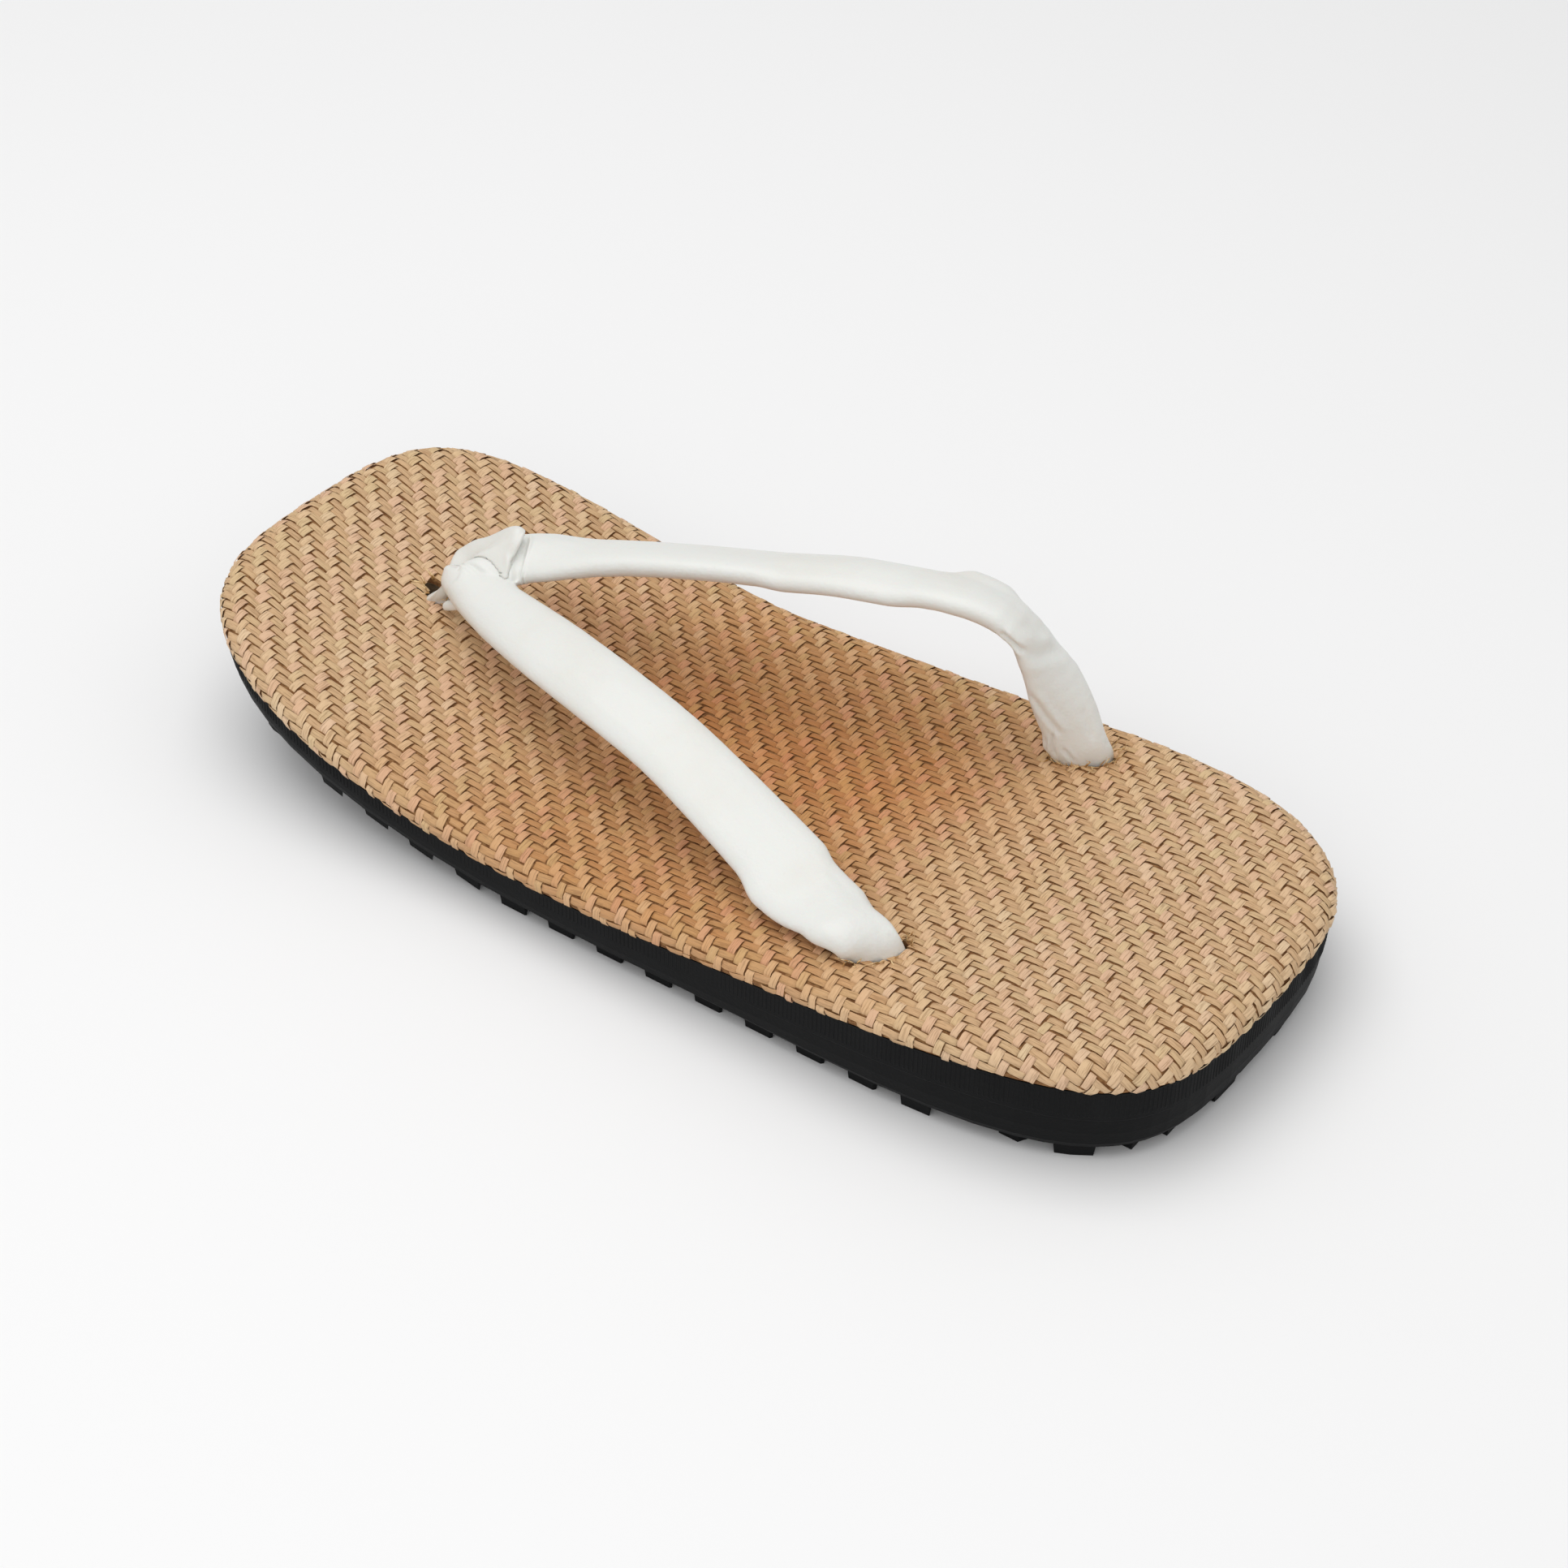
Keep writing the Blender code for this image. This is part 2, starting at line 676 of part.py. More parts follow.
def loft(name, sections, grow, material):
    """A padded band through its sections: place, width, thickness, turn and lean of each."""
    knots = [0.0]
    for a, b in zip(sections, sections[1:]):
        knots.append(knots[-1] + (Vector(b[:3]) - Vector(a[:3])).length)
    rows = smooth_steps(knots, sections, 3)
    body = Body()
    rings = []
    for i, row in enumerate(rows):
        before, after = rows[max(i - 1, 0)], rows[min(i + 1, len(rows) - 1)]
        tangent = (Vector(after[:3]) - Vector(before[:3])).normalized()
        width, thick, turn, lean = row[3:]
        across = Vector((cos(turn) * cos(lean), sin(turn) * cos(lean), -sin(lean)))
        normal = tangent.cross(across).normalized()
        across = normal.cross(tangent)
        points = []
        for u, v in oval((0.0, 0.0), width + 2 * grow, thick + 2 * grow, 0.0, SECTION_SIDES):
            points.append(tuple(Vector(row[:3]) + across * u + normal * v))
        rings.append(body.add_points(points))
    for a, b in zip(rings, rings[1:]):
        body.join_rings(a, b)
    body.faces.append(tuple(rings[0]))
    body.faces.append(tuple(reversed(rings[-1])))
    return body.finish(name, material)


def leg_sections(x, y, length, width, turn, lean):
    """The part of a strap that stands in its hole, clear of the hole's wall and of the rubber."""
    clear = 4 * GAP
    lowest = max(deck(y - length / 2), deck(y + length / 2)) + 2 * GAP
    size = (length - clear, width - clear, turn, lean)
    return [(x, y, cover_top(y), *size), (x, y, lowest, *size)]


def arm_sections(rows, side, arch, hole_turn):
    span = SIDE_HOLE_Y - STRAP_FRONT_Y
    sections = []
    for row in rows:
        y = STRAP_FRONT_Y + row.along * span
        x = side * row.out * SIDE_HOLE_X
        turn = radians(row.turn) if side > 0 else pi - radians(row.turn)
        sections.append((
            x, y, cover_top(y) + row.lift * arch,
            row.width * STRAP_WIDTH, row.thick * STRAP_THICKNESS, turn, radians(row.lean),
        ))
    turn = radians(hole_turn) if side > 0 else pi - radians(hole_turn)
    hole = (side * SIDE_HOLE_X, SIDE_HOLE_Y, SIDE_HOLE_LENGTH, SIDE_HOLE_WIDTH)
    return sections + leg_sections(*hole, turn, 0.0)


def loop_sections():
    sections = leg_sections(TOE_HOLE_X, TOE_HOLE_Y, TOE_HOLE_LENGTH, TOE_HOLE_WIDTH, pi / 2, 0.0)[::-1]
    x, y, z, length, width, turn, lean = sections[0]
    sections = [(x, y, height, width, length, 0.0, 0.0) for height in (z, cover_top(y))]
    for row in TOE_LOOP:
        y = TOE_HOLE_Y + row.along * LOOP_LENGTH
        sections.append((
            TOE_HOLE_X + row.out * SIDE_HOLE_X, y, cover_top(y) + row.lift * FAR_ARCH,
            row.width * LOOP_WIDTH, row.thick * LOOP_THICKNESS, radians(row.turn), radians(row.lean),
        ))
    return sections


def hide_tool(obj):
    obj.hide_render = True
    obj.display_type = "WIRE"


def add_boolean(obj, tool, operation):
    modifier = obj.modifiers.new(tool.name, "BOOLEAN")
    modifier.operation = operation
    modifier.object = tool
    modifier.solver = "EXACT"
    hide_tool(tool)


def make_strap(material):
    near = loft("strap", arm_sections(NEAR_ARM, 1, NEAR_ARCH, NEAR_HOLE_TURN), 0.0, material)
    far = loft("far_arm_form", arm_sections(FAR_ARM, -1, FAR_ARCH, FAR_HOLE_TURN), 0.0, material)
    add_boolean(near, far, "UNION")
    return near


def make_toe_loop(material):
    body = loft("toe_loop", loop_sections(), 0.0, material)
    near = arm_sections(NEAR_ARM, 1, NEAR_ARCH, NEAR_HOLE_TURN)
    far = arm_sections(FAR_ARM, -1, FAR_ARCH, FAR_HOLE_TURN)
    add_boolean(body, loft("near_arm_room", near, GAP, material), "DIFFERENCE")
    add_boolean(body, loft("far_arm_room", far, GAP, material), "DIFFERENCE")
    return body


def main():
    for obj in list(bpy.data.objects):
        bpy.data.objects.remove(obj, do_unlink=True)
    make_outsole(make_material("black_rubber", (0.018, 0.020, 0.023), 0.5))
    make_board(make_material("board", (0.55, 0.42, 0.27), 0.85))
    make_cover(make_material("woven_mat", (0.60, 0.40, 0.21), 0.6))
    leather = make_material("white_leather", (0.85, 0.84, 0.80), 0.45)
    make_strap(leather)
    make_toe_loop(make_material("white_loop_leather", (0.84, 0.83, 0.79), 0.45))


main()
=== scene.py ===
import bpy
import bmesh
import math
import numpy as np
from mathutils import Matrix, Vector


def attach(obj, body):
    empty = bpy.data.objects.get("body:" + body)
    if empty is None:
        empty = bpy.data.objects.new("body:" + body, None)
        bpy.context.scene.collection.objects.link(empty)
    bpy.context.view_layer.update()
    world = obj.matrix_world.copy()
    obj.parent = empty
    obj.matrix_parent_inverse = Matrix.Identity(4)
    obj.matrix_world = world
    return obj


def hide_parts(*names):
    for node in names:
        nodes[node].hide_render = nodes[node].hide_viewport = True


# A flat thong sandal with a twill-woven straw mat, a padded white V strap and a studded rubber sole.
# Metres, +Z up, toe to -Y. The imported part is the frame, and everything here is built on it.

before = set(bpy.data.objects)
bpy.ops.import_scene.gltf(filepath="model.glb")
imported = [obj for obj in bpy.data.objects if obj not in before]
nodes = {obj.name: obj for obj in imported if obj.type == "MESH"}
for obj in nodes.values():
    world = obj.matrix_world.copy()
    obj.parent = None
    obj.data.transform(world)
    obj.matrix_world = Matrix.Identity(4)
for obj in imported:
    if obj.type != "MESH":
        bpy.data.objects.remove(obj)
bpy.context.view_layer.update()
print("frame loaded:", ", ".join(sorted(nodes)))


# shader helpers
class Wire:
    # one output socket that can be used in plain arithmetic
    def __init__(self, look, socket):
        self.look = look
        self.socket = socket

    def __add__(self, other): return self.look.calc("ADD", self, other)
    def __radd__(self, other): return self.look.calc("ADD", other, self)
    def __sub__(self, other): return self.look.calc("SUBTRACT", self, other)
    def __rsub__(self, other): return self.look.calc("SUBTRACT", other, self)
    def __mul__(self, other): return self.look.calc("MULTIPLY", self, other)
    def __rmul__(self, other): return self.look.calc("MULTIPLY", other, self)

    def step(self, low, high):
        # 0 below low, 1 above high, smooth between
        return self.look.add("ShaderNodeMapRange", {"interpolation_type": "SMOOTHSTEP"},
                             {"Value": self, "From Min": low, "From Max": high})

    def wave(self):
        return self.look.calc("SINE", self, 0.0)

    def size(self):
        return self.look.calc("ABSOLUTE", self, 0.0)


class Look:
    # a material with its Principled shader
    def __init__(self, name, **constants):
        self.material = bpy.data.materials.new(name)
        self.material.use_nodes = True
        self.tree = self.material.node_tree
        self.shader = self.tree.nodes["Principled BSDF"]
        for key, value in constants.items():
            self.shader.inputs[key.replace("_", " ")].default_value = value

    def feed(self, socket, value):
        if isinstance(value, Wire):
            self.tree.links.new(value.socket, socket)
        else:
            socket.default_value = value

    def add(self, kind, settings=None, sockets=None, out=0):
        node = self.tree.nodes.new(kind)
        for key, value in (settings or {}).items():
            setattr(node, key, value)
        for key, value in (sockets or {}).items():
            self.feed(node.inputs[key], value)
        return Wire(self, node.outputs[out])

    def calc(self, operation, first, second):
        return self.add("ShaderNodeMath", {"operation": operation}, {0: first, 1: second})

    def mix(self, factor, first, second, blend="MIX"):
        return self.add("ShaderNodeMix", {"data_type": "RGBA", "blend_type": blend},
                        {0: factor, 6: first, 7: second}, out=2)

    def stretch(self, vector, scale):
        return self.add("ShaderNodeVectorMath", {"operation": "MULTIPLY"}, {0: vector, 1: scale})

    def place(self):
        return self.add("ShaderNodeTexCoord", out="Object")

    def along(self):
        return self.add("ShaderNodeTexCoord", out="UV")

    def parts(self, vector):
        first = self.add("ShaderNodeSeparateXYZ", None, {"Vector": vector}, out=0)
        node = first.socket.node
        return first, Wire(self, node.outputs[1]), Wire(self, node.outputs[2])

    def noise(self, vector, scale, detail=2.0, roughness=0.5):
        return self.add("ShaderNodeTexNoise", None,
                        {"Vector": vector, "Scale": scale, "Detail": detail, "Roughness": roughness})

    def cells(self, vector, scale):
        return self.add("ShaderNodeTexVoronoi", None, {"Vector": vector, "Scale": scale})

    def bump(self, height, distance, strength=1.0):
        return self.add("ShaderNodeBump", None,
                        {"Height": height, "Distance": distance, "Strength": strength})

    def surface(self, **wires):
        for key, value in wires.items():
            self.feed(self.shader.inputs[key.replace("_", " ")], value)
        return self.material


def link(obj):
    bpy.context.scene.collection.objects.link(obj)
    return obj


def meshObject(name, points, faces, material, smooth=True):
    mesh = bpy.data.meshes.new(name)
    mesh.from_pydata([tuple(p) for p in points], [], [tuple(f) for f in faces])
    mesh.update()
    if smooth:
        mesh.shade_smooth()
    mesh.materials.append(material)
    return link(bpy.data.objects.new(name, mesh))


# shape of the sandal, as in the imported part
last = {
    "length": 0.260,
    "width": 0.1155,
    "squareness": 4.1,
    "toeSlimness": 0.012,
    "cornerFullness": 0.017,
    "toeSpring": 0.0221,
    "rollStart": 0.40,
    "rollPower": 1.6,
    "heelRubber": 0.0200,
    "rubberShares": (0.62, 0.56, 0.55, 0.58, 0.64, 0.76, 0.91, 1.00, 0.94),
    "matOverRubber": 0.0065,
    "edgeRun": 0.0069,
    "edgeFall": 0.004775,
    "rimFall": 0.001425,
    "rimInset": 0.0008,
    "treadDepth": 0.0032,
}


def outlinePoint(angle):
    x, y = math.sin(angle) / last["width"], math.cos(angle) / last["length"]
    power = last["squareness"]
    radius = (abs(x)**power + abs(y)**power)**(-1 / power) / 2
    radius *= 1 - last["toeSlimness"] * math.cos(angle) + 2 * last["cornerFullness"] * math.cos(2 * angle)
    radius *= 1 + last["cornerFullness"] * math.cos(4 * angle)
    return radius * math.sin(angle), -radius * math.cos(angle)


def makeOutline(count=1440, fine=3600):
    # closed outline with outward normals, evenly spaced
    ring = np.array([outlinePoint(2 * math.pi * i / fine) for i in range(fine)])
    ring[:, 0] *= last["width"] / (ring[:, 0].max() - ring[:, 0].min())
    middle = (ring[:, 1].max() + ring[:, 1].min()) / 2
    ring[:, 1] = (ring[:, 1] - middle) * last["length"] / (ring[:, 1].max() - ring[:, 1].min())
    closed = np.vstack([ring, ring[:1]])
    steps = np.linalg.norm(np.diff(closed, axis=0), axis=1)
    run = np.concatenate([[0.0], np.cumsum(steps)])
    even = np.linspace(0.0, run[-1], count, endpoint=False)
    points = np.stack([np.interp(even, run, closed[:, i]) for i in (0, 1)], axis=1)
    ahead = np.roll(points, -1, axis=0) - np.roll(points, 1, axis=0)
    normals = np.stack([ahead[:, 1], -ahead[:, 0]], axis=1)
    normals /= np.linalg.norm(normals, axis=1, keepdims=True)
    return points, normals, run[-1]


def underside(y):
    lift = np.clip((last["rollStart"] - (y / last["length"] + 0.5)) / last["rollStart"], 0, 1)
    return last["toeSpring"] * lift**last["rollPower"]


def deck(y):
    shares = last["rubberShares"]
    knots = np.linspace(0, 1, len(shares))
    slopes = np.gradient(shares, knots)
    t = np.clip(y / last["length"] + 0.5, 0, 1)
    index = np.clip((t * (len(shares) - 1)).astype(int), 0, len(shares) - 2)
    span = knots[1] - knots[0]
    u = (t - knots[index]) / span
    values = np.array(shares)
    rubber = ((2 * u**3 - 3 * u**2 + 1) * values[index] + (u**3 - 2 * u**2 + u) * span * slopes[index]
              + (3 * u**2 - 2 * u**3) * values[index + 1] + (u**3 - u**2) * span * slopes[index + 1])
    return underside(y) + last["heelRubber"] * rubber


def matTop(y):
    return deck(y) + last["matOverRubber"]


outline, outward, outlineRun = makeOutline()
insetLine = outline - outward * last["edgeRun"]

# the mat's rolled edge as a profile: distance run, way out, way down
rollAngles = np.linspace(0, math.pi / 2, 40)
rollOut = np.append(last["edgeRun"] * np.sin(rollAngles), last["edgeRun"] - last["rimInset"])
rollDown = np.append(last["edgeFall"] * (1 - np.cos(rollAngles)), last["edgeFall"] + last["rimFall"])
rollRun = np.concatenate([[0.0], np.cumsum(np.hypot(np.diff(rollOut), np.diff(rollDown)))])


def matHeight(xy, above=0.2, deepest=0.0004):
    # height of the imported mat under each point, or of its curve over a hole
    heights = matTop(xy[:, 1])
    for i, (x, y) in enumerate(xy):
        hit, spot, _, _ = nodes["mat_cover"].ray_cast((x, y, above), (0, 0, -1))
        if hit and spot.z > heights[i] - deepest:
            heights[i] = spot.z
    return heights


def wrapMat(plan, lift, follow=False, batch=4000, nudge=0.0003):
    # lays flat points over the mat and down round its edge, each raised by its lift
    placed = np.empty((len(plan), 3))
    away = np.empty(len(plan))
    for start in range(0, len(plan), batch):
        end = start + batch
        part = plan[start:end]
        gaps = part[:, None, :] - insetLine[None, :, :]
        nearest = np.argmin((gaps**2).sum(axis=2), axis=1)
        offset = part - insetLine[nearest]
        normal = outward[nearest]
        far = (offset * normal).sum(axis=1)
        foot = part - normal * far[:, None]
        over = np.clip(far, 0.0, rollRun[-1])
        out = np.interp(over, rollRun, rollOut)
        down = np.interp(over, rollRun, rollDown)
        ahead = np.clip(over + nudge, 0.0, rollRun[-1])
        back = np.clip(over - nudge, 0.0, rollRun[-1])
        goOut = np.interp(ahead, rollRun, rollOut) - np.interp(back, rollRun, rollOut)
        goDown = np.interp(ahead, rollRun, rollDown) - np.interp(back, rollRun, rollDown)
        length = np.hypot(goOut, goDown) + 1e-12
        up, side = goOut / length, goDown / length
        raised = lift[start:end]
        inside = far <= 0
        out = np.where(inside, far, out + raised * side)
        xy = foot + normal * out[:, None]
        low = np.where(inside, raised, -down + raised * up)
        height = matTop(xy[:, 1])
        if follow:
            height[inside] = matHeight(xy[inside])
        placed[start:end, :2] = xy
        placed[start:end, 2] = height + low
        away[start:end] = far
    return placed, away


# woven mat
weave = {
    "pitchX": 0.00192,
    "pitchY": 0.00198,
    "length": (1.04, 1.16),     # half length of a float across and along, in cells
    "width": (0.475, 0.425),    # half width, in cells
    "rise": (0.00046, 0.00033),
    "dip": -0.00012,
    "edgeDrop": (0.00006, 0.00016),
    "wander": 0.13,             # spreads of place, width, height, slant and length
    "widthSpread": 0.06,
    "heightSpread": 0.16,
    "slantSpread": 0.045,
    "lengthSpread": 0.05,
    "holeRoom": -0.0004,
    "rimRoom": 0.0002,
    "mostStrips": 400,
    "seed": 7,
}

holes = (
    {"x": 0.0002, "y": -0.0908, "length": 0.0084, "width": 0.0052, "turn": 90.0},
    {"x": 0.0410, "y": 0.0582, "length": 0.0146, "width": 0.0078, "turn": -45.0},
    {"x": -0.0410, "y": 0.0582, "length": 0.0146, "width": 0.0078, "turn": 123.0},
)
holePower = 2.3     # 2 would be an oval


def inHole(plan, room):
    inside = np.zeros(len(plan), bool)
    for hole in holes:
        turn = math.radians(hole["turn"])
        dx, dy = plan[:, 0] - hole["x"], plan[:, 1] - hole["y"]
        u = (dx * math.cos(turn) + dy * math.sin(turn)) / (hole["length"] / 2 + room)
        v = (-dx * math.sin(turn) + dy * math.cos(turn)) / (hole["width"] / 2 + room)
        inside |= (np.abs(u)**holePower + np.abs(v)**holePower) < 1
    return inside


def makeWeave(material):
    rng = np.random.default_rng(weave["seed"])
    p, q = weave["pitchX"], weave["pitchY"]
    reach = rollRun[-1] - last["edgeRun"]
    columns = int((last["length"] / 2 + reach) / q) + 2
    rows = int((last["width"] / 2 + reach) / p) + 2
    centres, across = [], []
    for c in range(-columns, columns):
        for k in range(-rows // 4 - 2, rows // 4 + 3):
            x = (c % 4 + 4 * k) * p
            centres.append((x, (c + 0.5) * q, c))
            across.append(True)
    for r in range(-rows, rows):
        for k in range(-columns // 4 - 2, columns // 4 + 3):
            y = ((r + 3) % 4 + 4 * k) * q
            centres.append(((r + 0.5) * p, y, r))
            across.append(False)
    centres, across = np.array(centres), np.array(across)
    plan = centres[:, :2]
    _, away = wrapMat(plan, np.zeros(len(plan)))
    keep = (away < rollRun[-1] - weave["rimRoom"]) & ~inHole(plan, weave["holeRoom"])
    plan, across, strip = plan[keep], across[keep], centres[keep, 2].astype(int)
    count = len(plan)

    # one float: along by across, with a flat top, rounded sides and ends that dive under
    t = np.array([-1.0, -0.86, -0.5, 0.5, 0.86, 1.0])
    w = np.array([-1.0, -0.82, 0.82, 1.0])
    tt, ww = np.meshgrid(t, w, indexing="ij")
    tt, ww = tt.ravel(), ww.ravel()
    arch = 1 - np.abs(tt)**4.5
    narrow = 1 - 0.07 * np.abs(tt)**3

    size = rng.normal(1.0, weave["widthSpread"], count)
    tall = rng.normal(1.0, weave["heightSpread"], count)
    drift = rng.normal(0.0, weave["wander"], (count, 2))
    skew = rng.normal(0.0, weave["slantSpread"], count)
    stretch = rng.normal(1.0, weave["lengthSpread"], count)
    along = np.where(across, p * weave["length"][0], q * weave["length"][1]) * stretch
    wide = np.where(across, q * weave["width"][0], p * weave["width"][1]) * size
    rise = np.where(across, weave["rise"][0], weave["rise"][1]) * tall
    u = along[:, None] * tt[None, :]
    v = wide[:, None] * ww[None, :] * narrow[None, :]
    v = v + u * skew[:, None]
    dx = np.where(across[:, None], u, v) + drift[:, :1] * p * 0.5
    dy = np.where(across[:, None], v, u) + drift[:, 1:] * q * 0.5
    points = np.stack([plan[:, :1] + dx, plan[:, 1:2] + dy], axis=2).reshape(-1, 2)
    lift = weave["dip"] + (rise[:, None] - weave["dip"]) * arch[None, :]
    drop = np.where(across, weave["edgeDrop"][0], weave["edgeDrop"][1])
    lift = (lift - drop[:, None] * (np.abs(ww) > 0.9)[None, :]).ravel()
    placed, away = wrapMat(points, lift, follow=True)

    grid = np.arange(len(tt)).reshape(len(t), len(w))
    quads = np.stack([grid[:-1, :-1], grid[1:, :-1], grid[1:, 1:], grid[:-1, 1:]], axis=2).reshape(-1, 4)
    faces = (quads[None, :, :] + (np.arange(count) * len(tt))[:, None, None])
    faces[~across] = faces[~across][:, :, ::-1]
    faces = faces.reshape(-1, 4)

    mesh = bpy.data.meshes.new("woven_mat")
    mesh.vertices.add(len(placed))
    mesh.vertices.foreach_set("co", placed.ravel())
    mesh.loops.add(faces.size)
    mesh.loops.foreach_set("vertex_index", faces.ravel().astype(np.int32))
    mesh.polygons.add(len(faces))
    mesh.polygons.foreach_set("loop_start", np.arange(0, faces.size, 4, dtype=np.int32))
    mesh.update(calc_edges=True)
    mesh.validate()
    mesh.shade_smooth()

    # strip coordinates for the fibres: millimetres along, and across the strip
    where = np.where(across, plan[:, 0], plan[:, 1])
    su = (where[:, None] + u) * 1000 + (strip * 37.3)[:, None]
    sv = np.broadcast_to(ww * 0.5, su.shape) * 1.6 + np.where(across, 0.0, 40.0)[:, None]
    layer = mesh.uv_layers.new(name="strip")
    uv = np.stack([su.ravel(), sv.ravel()], axis=1)[faces.ravel()]
    layer.data.foreach_set("uv", uv.ravel())

    # tones: that of the whole strip, that of the float, and how near the rim it lies
    most = weave["mostStrips"]
    runTone = {True: rng.random(most), False: rng.random(most)}
    stripTone = np.array([runTone[bool(a)][s + most // 2] for a, s in zip(across, strip)])
    floatTone = rng.random(count)
    rim = np.clip(away.reshape(count, -1).mean(axis=1) / rollRun[-1], 0, 1)
    tone = np.stack([stripTone, floatTone, rim, np.where(across, 1.0, 0.0)], axis=1)
    tone = np.repeat(tone, len(tt), axis=0)
    attribute = mesh.color_attributes.new(name="tone", type="FLOAT_COLOR", domain="POINT")
    attribute.data.foreach_set("color", tone.ravel())
    mesh.materials.append(material)
    print("woven mat:", count, "floats")
    return link(bpy.data.objects.new("woven_mat_strips", mesh))


def strawLook():
    tones = {
        "straw": (0.76, 0.50, 0.27, 1), "pink": (0.76, 0.44, 0.275, 1), "green": (0.64, 0.47, 0.21, 1),
        "orange": (0.60, 0.30, 0.10, 1), "pale": (0.90, 0.72, 0.50, 1), "brown": (0.25, 0.11, 0.036, 1),
        "ochre": (0.61, 0.38, 0.165, 1), "tan": (0.56, 0.31, 0.13, 1), "shadeAndTone": (0.90, 0.62, 0.40, 1),
    }
    look = Look("straw_strips", Roughness=0.62, Specular_IOR_Level=0.3)
    place, strip = look.place(), look.along()
    tone = look.add("ShaderNodeVertexColor", {"layer_name": "tone"})
    stripTone, floatTone, rim = look.parts(tone)
    x, y, _ = look.parts(place)
    patch = look.noise(place, 42.0, 3.0)
    drift = look.noise(place, 14.0, 2.0)
    # strips that run across lie higher and paler than those that run along
    _, row, _ = look.parts(strip)
    crossing = 1.0 - row.step(15.0, 25.0)
    pale = look.mix(stripTone.step(0.20, 0.50), tones["pink"], tones["straw"])
    pale = look.mix(stripTone.step(0.74, 0.92) * 0.6, pale, tones["green"])
    deep = look.mix(stripTone.step(0.35, 0.65), tones["ochre"], tones["tan"])
    colour = look.mix(crossing * 0.80 + floatTone * 0.20, deep, pale)
    colour = look.mix((floatTone * 0.45 + patch * 0.8).step(0.55, 0.90) * 0.40, colour, tones["orange"])
    colour = look.mix(floatTone.step(0.70, 1.0) * crossing * 0.35, colour, tones["pale"])
    # painted shade: the middle of the mat, under and between the straps, is darker and more orange,
    # partly as the straps' shade and partly as the mat's own tone; toe and heel are paler
    middle = 1.0 - (y.size() + drift * 0.05).step(0.045, 0.125)
    centre = 1.0 - ((x + 0.006).size() + drift * 0.03).step(0.012, 0.085)
    colour = look.mix(middle * centre * 0.86, colour, tones["shadeAndTone"], "MULTIPLY")
    colour = look.mix((1.0 - middle) * 0.27, colour, tones["pale"])
    # painted shade, partly: darker still towards the near side of the middle
    colour = look.mix(x.step(0.020, 0.050) * middle * 0.45, colour, tones["shadeAndTone"], "MULTIPLY")
    # each strip is a bundle of a few straws, with pale lines and darker fibre streaks; the clefts between
    # the straws, the lowest parts of the bump, are darkened as painted shade
    straws = look.noise(look.stretch(strip, (0.22, 3.1, 1.0)), 1.0, 2.0, 0.6)
    fibres = look.noise(look.stretch(strip, (0.30, 8.0, 1.0)), 1.0, 3.0, 0.6)
    lines = look.noise(look.stretch(strip, (0.12, 20.0, 1.0)), 1.0, 2.0, 0.5)
    # painted shade in the clefts between the straws
    colour = look.mix((1.0 - straws.step(0.36, 0.50)) * 0.42, colour, tones["brown"])
    colour = look.mix(fibres.step(0.54, 0.74) * 0.26, colour, tones["brown"])
    colour = look.mix(lines.step(0.55, 0.75) * 0.30, colour, tones["pale"])
    colour = look.mix(rim.step(0.35, 0.85) * 0.14, colour, tones["pale"])
    height = straws * 0.9 + fibres * 0.4 + lines * 0.3
    return look.surface(
        Base_Color=colour,
        Roughness=0.50 + fibres * 0.25,
        Normal=look.bump(height, 0.00022, 0.9),
    )


# what shows between the floats: dark browns, painted shade standing in for the shaded straw under them
gapShade = {"deep": (0.17, 0.070, 0.024, 1), "light": (0.32, 0.165, 0.065, 1)}


def gapShadeLook():
    look = Look("mat_gap_shade", Roughness=0.85, Specular_IOR_Level=0.2)
    place = look.place()
    grain = look.noise(place, 900.0, 3.0)
    # painted shade: the gaps' dark browns, varied by a fine grain
    colour = look.mix(grain.step(0.35, 0.70), gapShade["deep"], gapShade["light"])
    return look.surface(Base_Color=colour, Normal=look.bump(grain, 0.0002))


strips = makeWeave(strawLook())
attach(strips, "root")
nodes["mat_cover"].data.materials[0] = gapShadeLook()


# rubber sole
rubber = {
    "black": (0.0040, 0.0043, 0.0046, 1),
    "worn": (0.0105, 0.0110, 0.0115, 1),
    "dust": (0.055, 0.052, 0.047, 1),
    "ribPitch": 0.00105,
    "ribWidth": 0.00058,
    "ribOut": 0.00018,
    "ribTop": 0.0004,
    "ribShare": 0.60,
    "ribBevel": 0.0004,
    "ribSink": 0.0001,
    "cutRow": -0.0280,      # the row of studs with fine cuts across
    "cutHalf": (0.0052, 0.0056),
    "cutTop": (0.0030, 0.0036),
}


def rubberLook():
    look = Look("sole_rubber", Roughness=0.5, Coat_Roughness=0.30, Specular_IOR_Level=0.12)
    place = look.place()
    cloud = look.noise(place, 55.0, 4.0)
    speck = look.noise(place, 2600.0, 3.0)
    pits = look.cells(place, 1300.0)
    colour = look.mix(cloud.step(0.45, 0.75) * 0.5, rubber["black"], rubber["worn"])
    colour = look.mix(speck.step(0.66, 0.80) * 0.30, colour, rubber["dust"])
    # fine cuts across the studs of one row
    x, y, z = look.parts(place)
    row = 1.0 - (x - rubber["cutRow"]).size().step(*rubber["cutHalf"])
    cuts = (y * 3900.0 + x * 900.0).wave().step(0.55, 0.95) * row * (1.0 - z.step(*rubber["cutTop"]))
    height = speck * 0.35 + pits * 0.25 + cloud * 0.4 - cuts * 3.0
    return look.surface(
        Base_Color=colour,
        Roughness=0.46 + cloud * 0.16 + speck * 0.10,
        Coat_Weight=0.03 - cloud * 0.03,
        Normal=look.bump(height, 0.00018, 0.6),
    )


